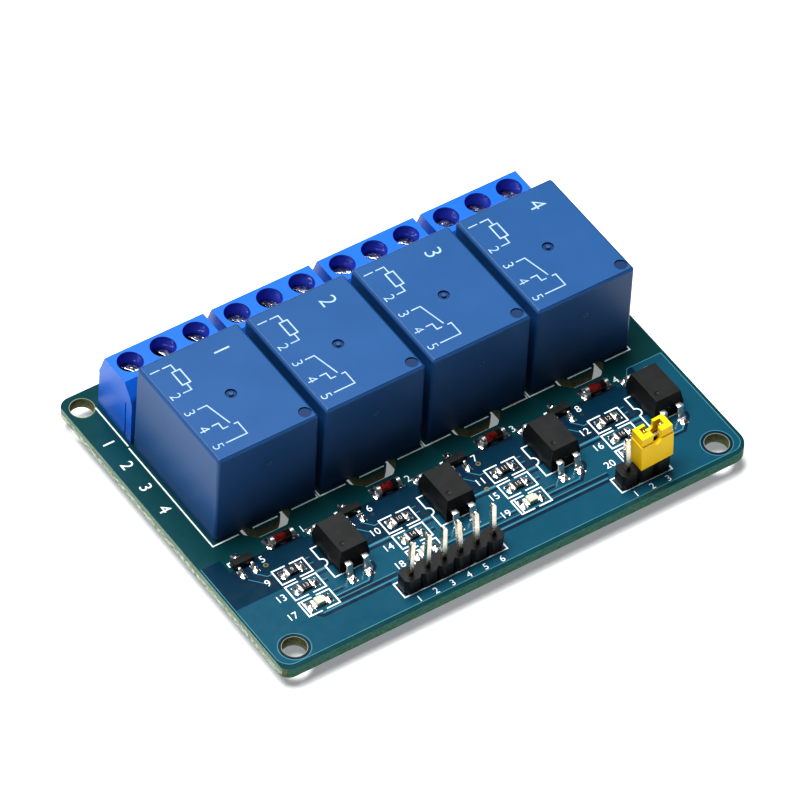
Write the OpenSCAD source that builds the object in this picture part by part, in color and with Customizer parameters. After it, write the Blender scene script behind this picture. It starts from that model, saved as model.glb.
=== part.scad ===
// Four-channel relay module: a printed circuit board that carries four cube relays,
// four three-way rising-clamp terminal blocks, a six-pin and a three-pin header with
// its jumper, and one driver group of surface-mount parts for every relay.
// Frame: +Z out of the component side, +X along the row of relays, +Y from the headers
// to the terminals. The origin lies midway between the two front mounting holes, on the
// underside of the board. Millimetres.

/* [Board] */
// Board length along the relay row
board_w = 72.5; // [71:0.1:76]
// Board depth from the header edge to the terminal edge
board_d = 53.5; // [52:0.1:58]
// Laminate thickness
board_t = 1.6; // [1:0.1:2.4]
// Distance from the front edge to the front mounting holes
edge_to_holes = 3.0; // [2.8:0.1:5]
// Centre distance of the two front mounting holes
front_hole_pitch = 65.4; // [64:0.1:66]
// Centre distance of the two back mounting holes
back_hole_pitch = 67.4; // [66:0.1:68]
// Distance between the front and back hole rows
hole_row_gap = 48.0; // [47:0.1:49]
// Mounting hole diameter
mount_hole_d = 3.25; // [2.5:0.05:3.6]
// Corner radius at the scored side of the panel
corner_r_left = 1.9; // [0.5:0.1:3]
// Corner radius at the routed side of the panel
corner_r_right = 2.6; // [0.5:0.1:3]
// Depth of the score along the left side, on each face
score_z = 0.42; // [0.2:0.01:0.6]

/* [Relay groups] */
// Number of relay channels
channels = 4; // [4]
// Pitch of the channels along the board
pitch = 16.32; // [16:0.01:16.5]
// X of the middle of the relay row
row_x = 0.5; // [0:0.1:1]

/* [Relay] */
// Relay cover width at its foot
relay_w = 15.5; // [15:0.1:15.8]
// Relay cover length at its foot
relay_l = 19.26; // [18.8:0.02:19.6]
// Relay height above the board
relay_h = 15.0; // [12:0.1:16]
// Inward draft of each cover wall over its height
relay_draft = 0.14; // [0.05:0.01:0.3]
// Rounding of the cover edges
relay_round = 0.45; // [0.2:0.05:0.8]
// Y of the relay centre
relay_y = 29.4; // [29:0.1:29.8]
// Half the distance between the two coil pins
coil_pin_x = 6.0; // [5.5:0.1:6.2]
// Distance from the common pin back to the coil pins
coil_pin_back = 2.0; // [1.8:0.1:2.4]
// Distance from the common pin back to the contact pins
contact_pin_back = 14.2; // [14:0.1:14.4]
// Length of every pin tail below the board
tail = 1.9; // [1.2:0.1:3]

/* [Isolation slots] */
// Width of the milled slot
slot_w = 1.2; // [0.8:0.1:1.4]
// Distance between the two legs of the slot
slot_span = 6.0; // [5.6:0.1:6.4]
// Y of the bar of the slot, in front of the relay
slot_bar_y = 18.1; // [17.9:0.1:18.4]
// Length of the legs behind the bar
slot_leg = 6.4; // [3:0.1:8]

/* [Terminal block] */
// Pitch of the ways
way_pitch = 5.0; // [5:0.01:5.02]
// Number of ways in one block
ways = 3; // [3]
// Block length
term_w = 15.07; // [15.05:0.01:15.2]
// Block depth
term_d = 8.0; // [7.8:0.1:8.2]
// Block height above the board
term_h = 10.1; // [9.8:0.1:10.6]
// Y of the front face of the blocks
term_y = 39.5; // [39.3:0.1:39.7]
// Screw well diameter
well_d = 3.5; // [3.4:0.05:3.7]
// Distance from the front face to the screw axis
well_y = 4.4; // [4.3:0.1:4.5]
// Width of the wire entry
entry_w = 3.8; // [3.2:0.1:4.0]
// Height of the wire entry
entry_h = 3.6; // [3:0.1:3.8]
// Screw head diameter
screw_head_d = 3.2; // [3:0.05:3.3]
// Depth of the screw head below the top of the block
screw_sink = 2.0; // [1.8:0.1:2.2]

/* [Headers] */
// Pitch of the header pins
pin_pitch = 2.54; // [2.54]
// Side of the square header pins
pin_side = 0.64; // [0.6:0.02:0.66]
// Height of the pin tips above the board
pin_top = 8.6; // [8:0.1:12]
// Lean of every pin of the six-pin header to the left, in degrees
pin_lean = [0, 0.6, 2.6, 6.8, 5.6, 4.1];
// Lean of the first pin of the three-pin header to the left, in degrees
bare_pin_lean = 5.5; // [0:0.1:7]
// X of the first pin of the six-pin header
header_6_x = -14.87; // [-15.5:0.01:-14]
// X of the first pin of the three-pin header
header_3_x = 18.75; // [18:0.01:19]
// Y of the header pins
header_y = 0.69; // [0.5:0.01:1]

/* [Jumper] */
// Cap length over both pins
cap_w = 5.0; // [4.9:0.02:5.06]
// Cap depth
cap_d = 2.4; // [2.3:0.05:2.5]
// Height of the foot of the cap above the board
cap_foot_z = 2.75; // [2.74:0.01:3]
// Height of the step in the cap above the board
cap_step_z = 7.15; // [6.6:0.05:7.4]
// Height of the top of the cap above the board
cap_top_z = 8.6; // [8.5:0.05:8.8]
// Lean of the jumper and its two pins to the left, in degrees
cap_lean = 4.0; // [0:0.1:4]

/* [Driver parts] */
// Optocoupler body length
opto_l = 6.5; // [6.2:0.1:6.8]
// Optocoupler body width
opto_w = 4.6; // [4.4:0.1:4.8]
// Diode length over its caps
diode_l = 3.5; // [3.3:0.1:3.7]
// Diode cap diameter
diode_d = 1.4; // [1.3:0.05:1.5]

/* [Hidden] */
board_y0 = -edge_to_holes;
board_y1 = board_y0 + board_d;
score_x = 0.22;
relay_xs = [for (k = [0:channels - 1]) row_x + (k - (channels - 1) / 2) * pitch];
com_y = relay_y - relay_l / 2 + 1.5;
coil_y = com_y + coil_pin_back;
contact_y = com_y + contact_pin_back;
blade_w = 1.0;
blade_t = 0.45;
coil_pin_d = 0.6;
base_t = 1.0;
base_gap = 0.2;
skirt_t = 0.5;
slot_dx = -0.36;
slot_bevel = 1.1;
term_dx = -0.23;
way_xs = [for (i = [0:ways - 1]) (i - (ways - 1) / 2) * way_pitch];
ledge_z = term_h - screw_sink - 1.3;
cavity_top = ledge_z - 0.5;
cavity_w = 4.2;
cavity_y0 = 1.7;
cavity_y1 = 6.1;
cage_w = 4.0;
cage_d = 3.2;
cage_z0 = 0.4;
cage_h = 4.6;
cage_wall = 0.6;
cage_roof = 0.9;
shank_d = 2.5;
bar_w = 2.4;
bar_t = 0.8;
bar_z = 3.0;
bar_end = 5.8;
leg_w = 1.0;
leg_y = cavity_y0 + bar_t / 2;
header_h = 2.54;
header_d = 2.5;
header_tail = 1.4;
pin_tip = 0.45;
bend_z = header_h + 0.3;
cap_y0 = -1.3;
cap_inset = 0.12;
clip_room_y = 0.6;
notch_r = 0.62;
front_notch_z = 7.1;
back_notch_z = 7.8;
sheet = 0.25;
clip_w = 4.1;
clip_z = [3.2, 6.6, 7.6];
opto_dx = 4.95;
opto_y = 10.15;
opto_z = [0.2, 1.9, 3.8];
opto_lead_w = 0.9;
opto_lead_z = 2.05;
opto_lead_reach = 5.0;
chip_dx = -2.09;
chip_ys = [10.56, 7.47];
chip_size = [2.0, 1.25, 0.55];
chip_cap = 0.35;
chip_skin = 0.05;
led_y = 4.39;
led_base_t = 0.35;
led_h = 0.8;
diode_dx = -0.41;
diode_y = 15.64;
diode_cap = 0.5;
sot_dx = -6.77;
sot_y = 14.94;
sot_size = [2.9, 1.3, 1.1];
sot_reach = 1.3;
eps = 0.05;

green = [0.03, 0.25, 0.30];
relay_blue = [0.20, 0.37, 0.66];
relay_dark = [0.12, 0.20, 0.40];
terminal_blue = [0.22, 0.50, 0.95];
silver = [0.80, 0.80, 0.80];
gold = [0.86, 0.80, 0.66];
black = [0.10, 0.10, 0.11];
yellow = [0.98, 0.85, 0.10];
glass_red = [0.70, 0.25, 0.15];
white = [0.93, 0.93, 0.88];

// ---------- printed circuit board ----------

// Bites a corner of radius r out of the outline; the corner points to +X +Y.
module corner_bite(r) {
    difference() {
        translate([-r, -r]) square(r + 1);
        translate([-r, -r]) circle(r, $fn = 64);
    }
}

module board_outline() {
    difference() {
        translate([-board_w / 2, board_y0]) square([board_w, board_d]);
        translate([board_w / 2, board_y1]) corner_bite(corner_r_right);
        translate([board_w / 2, board_y0]) mirror([0, 1]) corner_bite(corner_r_right);
        translate([-board_w / 2, board_y1]) mirror([1, 0]) corner_bite(corner_r_left);
        translate([-board_w / 2, board_y0]) mirror([1, 0]) mirror([0, 1]) corner_bite(corner_r_left);
    }
}

module mounting_holes() {
    for (side = [-1, 1]) {
        translate([side * front_hole_pitch / 2, 0]) circle(d = mount_hole_d, $fn = 64);
        translate([side * back_hole_pitch / 2, hole_row_gap]) circle(d = mount_hole_d, $fn = 64);
    }
}

// One straight pass of the milling cutter from point a to point b.
module cutter_pass(a, b) {
    run = b - a;
    translate(a) circle(d = slot_w, $fn = 48);
    translate(b) circle(d = slot_w, $fn = 48);
    translate(a) rotate(atan2(run.y, run.x)) translate([0, -slot_w / 2]) square([norm(run), slot_w]);
}

module isolation_slot() {
    half = slot_span / 2;
    for (side = [-1, 1]) {
        cutter_pass([side * half, slot_leg], [side * half, slot_bevel]);
        cutter_pass([side * half, slot_bevel], [side * (half - slot_bevel), 0]);
    }
    cutter_pass([slot_bevel - half, 0], [half - slot_bevel, 0]);
}

module pin_holes() {
    for (x = relay_xs) {
        translate([x, com_y]) circle(d = 1.3, $fn = 32);
        for (side = [-1, 1]) {
            translate([x + side * coil_pin_x, coil_y]) circle(d = 1.0, $fn = 32);
            translate([x + side * coil_pin_x, contact_y]) circle(d = 1.3, $fn = 32);
        }
        for (wx = way_xs)
            translate([x + term_dx + wx, term_y + leg_y]) circle(d = 1.5, $fn = 32);
    }
    for (i = [0:5])
        translate([header_6_x + i * pin_pitch, header_y]) circle(d = 1.02, $fn = 32);
    for (i = [0:2])
        translate([header_3_x + i * pin_pitch, header_y]) circle(d = 1.02, $fn = 32);
}

// Wedges that the two scoring wheels left along the side where the panel was broken.
module score_wedges() {
    for (face = [0, 1])
        translate([-board_w / 2, board_y1 + 1, board_t / 2]) mirror([0, 0, face]) rotate([90, 0, 0])
            linear_extrude(board_d + 2)
            polygon([[0, board_t / 2 - score_z], [score_x, board_t / 2], [score_x, board_t],
                     [-1, board_t], [-1, board_t / 2 - score_z]]);
}

module circuit_board() {
    color(green)
    difference() {
        linear_extrude(board_t)
        difference() {
            board_outline();
            mounting_holes();
            pin_holes();
            for (x = relay_xs)
                translate([x + slot_dx, slot_bar_y]) isolation_slot();
        }
        score_wedges();
    }
}

// ---------- relay ----------

module at_relay(k) {
    translate([relay_xs[k - 1], relay_y, board_t]) children();
}

// Moulded cover with drafted walls and rounded edges, open below for the base.
module relay_cover(k) {
    foot_x = relay_w / 2 - relay_round;
    foot_y = relay_l / 2 - relay_round;
    color(relay_blue)
    at_relay(k)
    difference() {
        hull()
            for (sx = [-1, 1], sy = [-1, 1]) {
                translate([sx * foot_x, sy * foot_y, 0])
                    cylinder(r = relay_round, h = 0.2, $fn = 32);
                translate([sx * (foot_x - relay_draft), sy * (foot_y - relay_draft), relay_h - relay_round])
                    sphere(r = relay_round, $fn = 32);
            }
        translate([-relay_w / 2 + skirt_t, -relay_l / 2 + skirt_t, -1])
            cube([relay_w - 2 * skirt_t, relay_l - 2 * skirt_t, 1 + base_gap + base_t]);
        translate([0.14, -0.49, relay_h - 0.25]) difference() {
            cylinder(r = 0.8, h = 1, $fn = 48);
            cylinder(r = 0.3, h = 1, $fn = 32);
        }
        translate([6.34, -8.04, relay_h - 0.2]) cylinder(r = 0.88, h = 1, $fn = 48);
    }
}

module relay_pin_shapes(grow) {
    translate([-blade_w / 2 - grow, com_y - relay_y - blade_t / 2 - grow])
        square([blade_w + 2 * grow, blade_t + 2 * grow]);
    for (side = [-1, 1]) {
        translate([side * coil_pin_x, coil_y - relay_y])
            circle(d = coil_pin_d + 2 * grow, $fn = 32);
        translate([side * coil_pin_x - blade_t / 2 - grow, contact_y - relay_y - blade_w / 2 - grow])
            square([blade_t + 2 * grow, blade_w + 2 * grow]);
    }
}

// Base plate that closes the cover, with a passage for every pin.
module relay_base(k) {
    fit = 0.02;
    size = [relay_w - 2 * skirt_t - 2 * fit, relay_l - 2 * skirt_t - 2 * fit];
    color(relay_dark)
    at_relay(k)
    translate([0, 0, base_gap])
    linear_extrude(base_t)
    difference() {
        square(size, center = true);
        relay_pin_shapes(fit);
    }
}

module relay_pins(k) {
    color(silver)
    at_relay(k)
    translate([0, 0, -board_t - tail])
    linear_extrude(board_t + tail + base_gap + base_t)
    relay_pin_shapes(0);
}

// ---------- three-way terminal block ----------

module at_terminal(k) {
    translate([relay_xs[k - 1] + term_dx, term_y, board_t]) children();
}

// Extrudes a profile drawn in (y, z) along X, centred on x = 0.
module along_x(length) {
    translate([-length / 2, 0, 0]) rotate([90, 0, 90]) linear_extrude(length) children();
}

// Draws a plan region and extrudes it between two heights.
module between(z0, z1) {
    translate([0, 0, z0]) linear_extrude(z1 - z0) children();
}

// Housing: sloped shell, screw wells, clamp chambers open below, wire entries at the
// back, dovetail groove on the left end and its tongue on the right end.
module terminal_housing(k) {
    color(terminal_blue)
    at_terminal(k) {
        difference() {
            along_x(term_w)
                polygon([[0, 0], [0, 7.2], [0.5, 8.4], [1.8, term_h], [term_d - 1.4, term_h],
                         [term_d - 0.15, 6.5], [term_d, 0]]);
            for (x = way_xs) {
                translate([x, well_y, ledge_z]) cylinder(d = well_d, h = term_h, $fn = 64);
                translate([x, well_y, cavity_top - eps]) cylinder(d = shank_d + 0.2, h = 1, $fn = 48);
                translate([x, 0]) between(-eps, cavity_top)
                    polygon([[-cavity_w / 2, cavity_y0], [cavity_w / 2, cavity_y0],
                             [cavity_w / 2, cavity_y1], [-cavity_w / 2, cavity_y1]]);
                translate([x, 0]) wire_entry();
            }
            translate([-term_w / 2 - eps, 1.2]) between(-eps, 6.6)
                polygon([[0, 0.08], [0.45 + eps, -0.05], [0.45 + eps, 0.5], [0, 0.5]]);
            translate([-term_w / 2 - eps, 1.65]) between(-eps, 6.55)
                square([0.13 + eps, term_d]);
        }
        translate([term_w / 2 - eps, 1.25]) between(0, 6.3)
            polygon([[0, 0.08], [0.35 + eps, 0], [0.35 + eps, 0.36], [0, 0.28]]);
    }
}

// Funnel-mouthed wire entry in the back wall.
module wire_entry() {
    z0 = 0.8;
    half = entry_w / 2;
    mouth = 0.2;
    translate([-half, cavity_y1 - eps, z0]) cube([entry_w, term_d, entry_h]);
    between(z0, z0 + entry_h)
        polygon([[-half, 7], [half, 7], [half + mouth, term_d + eps], [-half - mouth, term_d + eps]]);
}

// Clamp cages: a rectangular tube the wire passes through, threaded in its roof.
module terminal_cages(k) {
    inner_w = cage_w - 2 * cage_wall;
    inner_h = cage_h - cage_wall - cage_roof;
    color(silver)
    at_terminal(k)
    for (x = way_xs)
        translate([x, well_y, cage_z0])
        difference() {
            translate([0, cage_d / 2, 0]) rotate([90, 0, 0])
                linear_extrude(cage_d)
                difference() {
                    polygon([[-cage_w / 2 + 0.2, 0], [cage_w / 2 - 0.2, 0], [cage_w / 2, 0.2],
                             [cage_w / 2, cage_h - 0.3], [cage_w / 2 - 0.3, cage_h],
                             [0.3 - cage_w / 2, cage_h], [-cage_w / 2, cage_h - 0.3],
                             [-cage_w / 2, 0.2]]);
                    translate([-inner_w / 2, cage_wall]) square([inner_w, inner_h]);
                }
            translate([0, 0, cage_h - cage_roof - eps])
                cylinder(d = shank_d, h = cage_roof + 1, $fn = 48);
        }
}

// Clamping screws: slotted cylinder head, shank down to the contact bar.
module terminal_screws(k) {
    tip_z = bar_z + bar_t;
    slot_turn = [112, 96, 104];
    color(silver)
    at_terminal(k)
    for (i = [0:ways - 1])
        translate([way_xs[i], well_y, 0])
        difference() {
            rotate_extrude($fn = 64)
                polygon([[0, tip_z], [shank_d / 2 - 0.35, tip_z], [shank_d / 2, tip_z + 0.35],
                         [shank_d / 2, ledge_z], [screw_head_d / 2, ledge_z],
                         [screw_head_d / 2, ledge_z + 1.1], [screw_head_d / 2 - 0.2, ledge_z + 1.3],
                         [0, ledge_z + 1.3]]);
            translate([0, 0, ledge_z + 0.55])
                rotate(slot_turn[i] + 11 * k)
                translate([-screw_head_d, -0.3, 0]) cube([2 * screw_head_d, 0.6, 2]);
        }
}

// Contact bars: a flat bar inside the cage that bends down into the solder leg.
module terminal_pins(k) {
    color(silver)
    at_terminal(k)
    for (x = way_xs)
        translate([x, 0, 0])
        union() {
            along_x(bar_w)
                polygon([[cavity_y0, 0.3], [cavity_y0, bar_z + bar_t - 0.3],
                         [cavity_y0 + 0.3, bar_z + bar_t], [bar_end, bar_z + bar_t],
                         [bar_end, bar_z], [cavity_y0 + bar_t, bar_z], [cavity_y0 + bar_t, 0.3]]);
            translate([-leg_w / 2, cavity_y0, -board_t - tail])
                cube([leg_w, bar_t, board_t + tail + 0.4]);
        }
}

// ---------- pin headers ----------

// Housing strip of n octagonal units that meet in V notches.
module header_strip(n) {
    a = pin_pitch / 2;
    b = header_d / 2;
    c = 0.5;
    linear_extrude(header_h)
    difference() {
        for (i = [0:n - 1])
            translate([i * pin_pitch, 0])
            polygon([[-a, c - b], [c - a, -b], [a - c, -b], [a, c - b],
                     [a, b - c], [a - c, b], [c - a, b], [-a, b - c]]);
        for (i = [0:n - 1])
            translate([i * pin_pitch, 0]) square(pin_side, center = true);
    }
}

// Square header pin: tail, straight shaft through the housing, leaning upper end.
module header_pin(lean) {
    shaft = pin_top - bend_z - pin_tip;
    side = pin_side;
    translate([-side / 2, -side / 2, -board_t - header_tail])
        cube([side, side, board_t + header_tail + bend_z]);
    translate([0, 0, bend_z]) rotate([0, -lean, 0]) {
        translate([-side / 2, -side / 2, -0.1]) cube([side, side, shaft + 0.1]);
        translate([0, 0, shaft]) rotate(45)
            cylinder(r1 = side / sqrt(2), r2 = 0.2, h = pin_tip, $fn = 4);
    }
}

module header_6_housing() {
    color(black) translate([header_6_x, header_y, board_t]) header_strip(6);
}

module header_6_pins() {
    color(gold)
    for (i = [0:5])
        translate([header_6_x + i * pin_pitch, header_y, board_t]) header_pin(pin_lean[i]);
}

module header_3_housing() {
    color(black) translate([header_3_x, header_y, board_t]) header_strip(3);
}

module header_3_pins() {
    lean = [bare_pin_lean, cap_lean, cap_lean];
    color(gold)
    for (i = [0:2])
        translate([header_3_x + i * pin_pitch, header_y, board_t]) header_pin(lean[i]);
}

// ---------- jumper ----------

// The jumper leans with its two pins: it turns about the height where they bend.
module at_jumper() {
    translate([header_3_x + 1.5 * pin_pitch, header_y, board_t + bend_z])
        rotate([0, -cap_lean, 0])
        translate([0, 0, -bend_z])
        children();
}

// U notch through one wall of the cap, from y0 to y1, with its round end at height z.
module cap_notch(y0, y1, z) {
    translate([0, y1, z]) rotate([90, 0, 0]) linear_extrude(y1 - y0) {
        circle(r = notch_r, $fn = 48);
        translate([-notch_r, 0]) square([2 * notch_r, cap_top_z]);
    }
}

// Plastic cap: a hollow foot for the clip under two open towers with a pocket over each
// pin; a deep notch in the front wall and a shallow one in the back part the towers.
module jumper_cap() {
    room_top = cap_step_z - 0.3;
    pocket = [[-1.6, -0.35], [1.6, -0.35], [1.6, 0.65], [-1.6, 0.65]];
    color(yellow)
    at_jumper()
    difference() {
        union() {
            translate([-cap_w / 2, cap_y0]) between(cap_foot_z, cap_step_z) square([cap_w, cap_d]);
            translate([cap_inset - cap_w / 2, cap_y0 + cap_inset]) between(cap_step_z - eps, cap_top_z)
                square([cap_w - 2 * cap_inset, cap_d - cap_inset]);
        }
        translate([-clip_w / 2, -clip_room_y]) between(0, room_top) square([clip_w, 2 * clip_room_y]);
        between(room_top - eps, 2 * cap_top_z) polygon(pocket);
        translate([-notch_r, -clip_room_y]) between(room_top - eps, 2 * cap_top_z)
            square([2 * notch_r, clip_room_y]);
        cap_notch(cap_y0 - 1, -clip_room_y + eps, front_notch_z);
        cap_notch(clip_room_y, cap_d, back_notch_z);
    }
}

// One folded strip that clasps both pins and bridges them at the front notch.
module jumper_clip() {
    depth = pin_side + 2 * sheet;
    gap = 0.8;
    bridge = 0.3;
    color(gold)
    at_jumper()
    difference() {
        union() {
            between(clip_z[0], clip_z[1]) square([clip_w, depth], center = true);
            translate([-notch_r + 0.04, -depth / 2]) between(clip_z[0], clip_z[2])
                square([2 * notch_r - 0.08, sheet]);
        }
        between(0, cap_top_z) square([clip_w - 2 * sheet, depth - 2 * sheet], center = true);
        translate([-gap / 2, -depth]) between(0, clip_z[2] - bridge) square([gap, depth]);
    }
}

// ---------- driver groups ----------

module at_opto(k) {
    translate([relay_xs[k - 1] + opto_dx, opto_y, board_t]) children();
}

// Mould-drafted section: narrow foot, widest at the parting line, narrow top.
module drafted_section(half) {
    polygon([[-half + 0.2, opto_z[0]], [half - 0.2, opto_z[0]], [half, opto_z[1]],
             [half - 0.38, opto_z[2]], [0.38 - half, opto_z[2]], [-half, opto_z[1]]]);
}

module optocoupler(k) {
    color(black)
    at_opto(k)
    difference() {
        intersection() {
            along_x(opto_w + 1) drafted_section(opto_l / 2);
            translate([0, opto_l, 0]) rotate([90, 0, 0])
                linear_extrude(2 * opto_l) drafted_section(opto_w / 2);
        }
        translate([-1.0, -1.75, opto_z[2] - 0.12]) cylinder(r = 0.38, h = 1, $fn = 32);
    }
}

// A gull-wing lead, drawn in (y, z) and extruded to its width: it starts inside
// y = y0 at height z0, steps down to the board and ends at y = reach.
module gull_wing(y0, z0, knee, reach, t, w) {
    along_x(w)
    polygon([[y0, z0 - t / 2], [knee - t, z0 - t / 2], [knee, 0], [reach, 0],
             [reach, t], [knee + t, t], [knee + 0.05, z0 + t / 2], [y0, z0 + t / 2]]);
}

module optocoupler_leads(k) {
    color(silver)
    at_opto(k)
    for (sx = [-1, 1], turn = [0, 180])
        rotate(turn) translate([sx * pin_pitch / 2, 0, 0])
        gull_wing(opto_l / 2 - 0.005, opto_lead_z, 4.0, opto_lead_reach, 0.25, opto_lead_w);
}

module at_diode(k) {
    translate([relay_xs[k - 1] + diode_dx, diode_y, board_t + diode_d / 2])
        rotate([0, 90, 0]) children();
}

module diode_glass() {
    color(glass_red)
    for (k = [1:channels])
        at_diode(k)
        cylinder(d = diode_d - 0.1, h = diode_l - 2 * diode_cap, center = true, $fn = 48);
}

module diode_caps() {
    color(silver)
    for (k = [1:channels], side = [-1, 1])
        at_diode(k)
        translate([0, 0, side * (diode_l - diode_cap) / 2])
        cylinder(d = diode_d, h = diode_cap, center = true, $fn = 48);
}

module at_transistor(k) {
    translate([relay_xs[k - 1] + sot_dx, sot_y, board_t]) children();
}

module transistor_bodies() {
    half = sot_size.y / 2;
    color(black)
    for (k = [1:channels])
        at_transistor(k)
        along_x(sot_size.x)
        polygon([[-half + 0.08, 0.1], [half - 0.08, 0.1], [half, 0.55], [half - 0.12, sot_size.z],
                 [0.12 - half, sot_size.z], [-half, 0.55]]);
}

module transistor_leads() {
    half = sot_size.y / 2;
    color(silver)
    for (k = [1:channels])
        at_transistor(k) {
            gull_wing(half, 0.55, half + 0.25, sot_reach, 0.14, 0.42);
            for (sx = [-1, 1])
                rotate(180) translate([sx * 0.95, 0, 0])
                gull_wing(half, 0.55, half + 0.25, sot_reach, 0.14, 0.42);
        }
}

module at_resistors() {
    for (x = relay_xs, y = chip_ys)
        translate([x + chip_dx, y, board_t]) children();
}

// A block standing on the board, centred on its foot.
module chip_block(size, lift) {
    translate([-size.x / 2, -size.y / 2, lift]) cube(size);
}

resistor_core = chip_size - [2 * chip_skin, 2 * chip_skin, 2 * chip_skin];

module resistor_bodies() {
    color(black)
    at_resistors()
    chip_block(resistor_core, chip_skin);
}

module resistor_caps() {
    color(silver)
    at_resistors()
    for (side = [-1, 1])
        difference() {
            translate([side * (chip_size.x - chip_cap) / 2, 0, 0])
                chip_block([chip_cap, chip_size.y, chip_size.z], 0);
            chip_block(resistor_core, chip_skin);
        }
}

module at_leds() {
    for (x = relay_xs)
        translate([x + chip_dx, led_y, board_t]) children();
}

led_core = [chip_size.x - 2 * chip_skin, chip_size.y - 2 * chip_skin, led_base_t - 2 * chip_skin];

module led_bases() {
    color(white)
    at_leds()
    chip_block(led_core, chip_skin);
}

module led_terminals() {
    color(silver)
    at_leds()
    for (side = [-1, 1])
        difference() {
            translate([side * (chip_size.x - chip_cap) / 2, 0, 0])
                chip_block([chip_cap, chip_size.y, led_base_t], 0);
            chip_block(led_core, chip_skin);
        }
}

module led_lenses() {
    half = chip_size.x / 2 - chip_cap;
    lens_y = led_core.y / 2;
    foot = led_base_t - chip_skin;
    color([0.95, 0.95, 0.85])
    at_leds()
    translate([0, lens_y, 0]) rotate([90, 0, 0]) linear_extrude(2 * lens_y)
    polygon([[-half, foot], [half, foot], [half - 0.08, led_h], [0.08 - half, led_h]]);
}

// ---------- pieces ----------

per_channel = ["relay_cover", "relay_base", "relay_pins", "terminal_housing", "terminal_cages",
               "terminal_screws", "terminal_pins", "optocoupler", "optocoupler_leads"];
shared = ["circuit_board", "header_6_housing", "header_6_pins", "header_3_housing",
          "header_3_pins", "jumper_cap", "jumper_clip", "diode_glass", "diode_caps",
          "transistor_bodies", "transistor_leads", "resistor_bodies", "resistor_caps",
          "led_bases", "led_lenses", "led_terminals"];

// Piece to draw, or all of them

circuit_board();
header_6_housing();
header_6_pins();
header_3_housing();
header_3_pins();
jumper_cap();
jumper_clip();
diode_glass();
diode_caps();
transistor_bodies();
transistor_leads();
resistor_bodies();
resistor_caps();
led_bases();
led_lenses();
led_terminals();
for (k = [1:channels]) {
    relay_cover(k);
    relay_base(k);
    relay_pins(k);
    terminal_housing(k);
    terminal_cages(k);
    terminal_screws(k);
    terminal_pins(k);
    optocoupler(k);
    optocoupler_leads(k);
}
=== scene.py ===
import math

import bpy
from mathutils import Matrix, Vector


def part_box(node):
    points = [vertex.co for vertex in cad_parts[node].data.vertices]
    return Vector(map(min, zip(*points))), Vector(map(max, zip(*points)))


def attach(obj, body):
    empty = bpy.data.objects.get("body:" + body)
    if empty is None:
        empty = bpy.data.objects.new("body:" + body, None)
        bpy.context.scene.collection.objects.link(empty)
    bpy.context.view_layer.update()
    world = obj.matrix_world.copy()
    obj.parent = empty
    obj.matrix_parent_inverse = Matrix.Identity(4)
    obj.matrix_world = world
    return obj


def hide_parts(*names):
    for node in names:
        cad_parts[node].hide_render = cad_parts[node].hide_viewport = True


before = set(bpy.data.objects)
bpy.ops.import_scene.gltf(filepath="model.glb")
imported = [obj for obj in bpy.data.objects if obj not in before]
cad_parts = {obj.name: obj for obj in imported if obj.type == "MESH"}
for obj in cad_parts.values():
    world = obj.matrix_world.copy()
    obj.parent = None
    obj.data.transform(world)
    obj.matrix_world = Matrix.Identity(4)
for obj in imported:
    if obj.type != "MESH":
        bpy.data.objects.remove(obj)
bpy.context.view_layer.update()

# ---------------------------------------------------------------------------
# Circuit board. A 1.6 mm fibreglass laminate with green-blue solder mask on both
# faces. Its left side was broken off a scored panel, so that edge is a clean score
# above and below a torn middle; the other three sides were milled smooth.
# ---------------------------------------------------------------------------

MM = 0.001
board_low, board_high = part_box("circuit_board")
BOARD_TOP = board_high[2]
BOARD_LEFT = board_low[0]
BOARD_MIDDLE_Y = (board_low[1] + board_high[1]) / 2
# a wall nearer to the outline than this is an edge, any other is the wall of a hole or a slot
INNER_HALF_X = board_high[0] - 0.35 * MM
INNER_HALF_Y = (board_high[1] - board_low[1]) / 2 - 0.4 * MM
SCORE_DEPTH = 0.43
MASK_SKIN = 0.004


def start_alone():
    """Leaves edit mode and deselects everything, so that the next operator meets one piece."""
    if bpy.context.object and bpy.context.object.mode != "OBJECT":
        bpy.ops.object.mode_set(mode="OBJECT")
    bpy.ops.object.select_all(action="DESELECT")


def take(piece):
    start_alone()
    piece.select_set(True)
    bpy.context.view_layer.objects.active = piece
    return piece


def apply_modifier(piece, kind, **settings):
    take(piece)
    step = piece.modifiers.new("step", kind)
    for key, value in settings.items():
        setattr(step, key, value)
    bpy.ops.object.modifier_apply(modifier="step")


def settle(piece, material):
    """Puts a finished piece on the board: its place goes into its mesh, it takes its finish."""
    take(piece)
    bpy.ops.object.transform_apply(location=True, rotation=True, scale=True)
    piece.data.materials.clear()
    piece.data.materials.append(material)
    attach(piece, "root")
    return piece


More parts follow.
